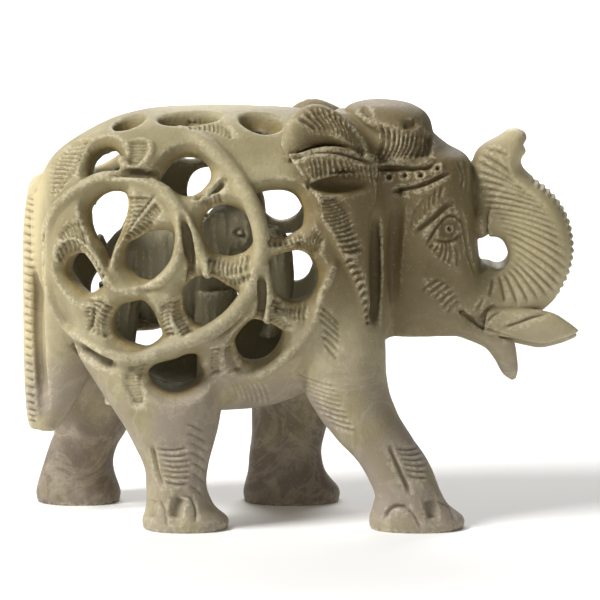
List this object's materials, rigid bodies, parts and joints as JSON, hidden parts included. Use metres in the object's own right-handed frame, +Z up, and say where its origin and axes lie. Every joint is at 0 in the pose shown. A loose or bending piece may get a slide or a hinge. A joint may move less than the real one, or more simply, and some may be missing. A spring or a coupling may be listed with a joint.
{
  "type": "openwork stone elephant carving",
  "caption": "Small soapstone elephant walking with its trunk raised, its hollow body pierced by vine scrolls that show a calf carved inside.",
  "frame": {"origin": "on the ground, under the middle of the outer box", "axes": "+X towards the head, +Y towards the elephant's left side, +Z up"},
  "size_m": [0.125, 0.053, 0.0955],
  "materials": {
    "soapstone": "hand-rubbed satin with knife and chisel marks"
  },
  "bodies": {
    "root": {"elephant_carving": "soapstone"}
  },
  "joints": []
}
